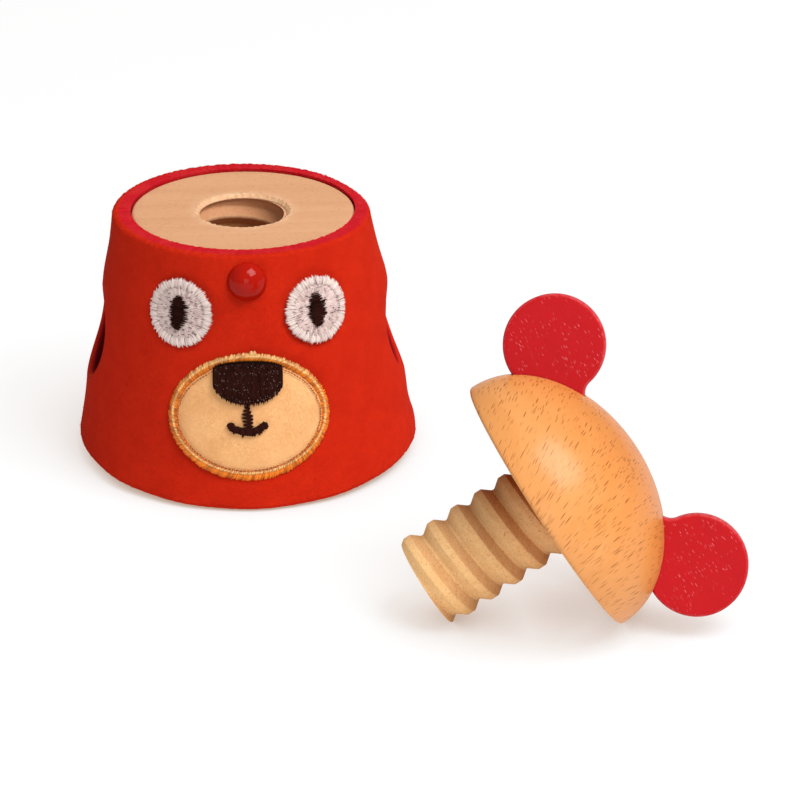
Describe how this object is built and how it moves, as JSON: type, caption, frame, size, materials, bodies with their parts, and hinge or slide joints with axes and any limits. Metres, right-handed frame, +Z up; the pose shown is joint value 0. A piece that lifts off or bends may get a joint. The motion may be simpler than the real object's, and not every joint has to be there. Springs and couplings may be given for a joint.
{
  "type": "nut and bolt animal toy",
  "caption": "Wooden nut and bolt toy dressed as a bear: a felt-covered cone with a threaded hole and a stitched face, and a threaded bolt with a domed head and round ears.",
  "frame": {"origin": "centre of the nut's flat base, on the surface that the toy stands on", "axes": "+Z up along the nut's axis, -Y the way the bear's face looks, +X to the right of the face as seen from in front"},
  "size_m": [0.1433, 0.1622, 0.0679],
  "materials": {
    "bare_beech": "bare sanded beech",
    "lacquered_beech": "clear satin lacquer",
    "red_felt": "thick wool felt",
    "crimson_paint": "satin paint on wood",
    "red_gloss": "gloss lacquer on wood",
    "peach_felt": "thin felt",
    "gold_thread": "satin embroidery thread",
    "white_thread": "satin embroidery thread",
    "dark_thread": "satin embroidery thread"
  },
  "bodies": {
    "nut": {"nut_core": "bare_beech", "felt_sleeve": "red_felt", "forehead_knob": "red_gloss", "muzzle_patch": "peach_felt", "muzzle_border": "gold_thread", "nose_stitching": "dark_thread", "mouth_stitching": "dark_thread", "left_eye": "white_thread", "left_pupil": "dark_thread", "right_eye": "white_thread", "right_pupil": "dark_thread"},
    "bolt_carrier": {"shank_dowel": "bare_beech"},
    "bolt": {"dome_cap": "lacquered_beech", "threaded_shank": "bare_beech", "left_ear": "crimson_paint", "right_ear": "crimson_paint"}
  },
  "joints": [
    {"name": "bolt_travel", "type": "slide", "parent": "nut", "child": "bolt_carrier", "axis": [0.8404, 0.0735, 0.5369], "range_m": [0, 0.02702]},
    {"name": "bolt_turn", "type": "hinge", "parent": "bolt_carrier", "child": "bolt", "pos_m": [0.0613, -0.0932, 0.02475], "axis": [0.8404, 0.0735, 0.5369], "range_deg": [0, 1620]}
  ],
  "couplings": [
    {"joint": "bolt_travel", "follows": "bolt_turn", "m_per_rad": 0.00095493}
  ]
}
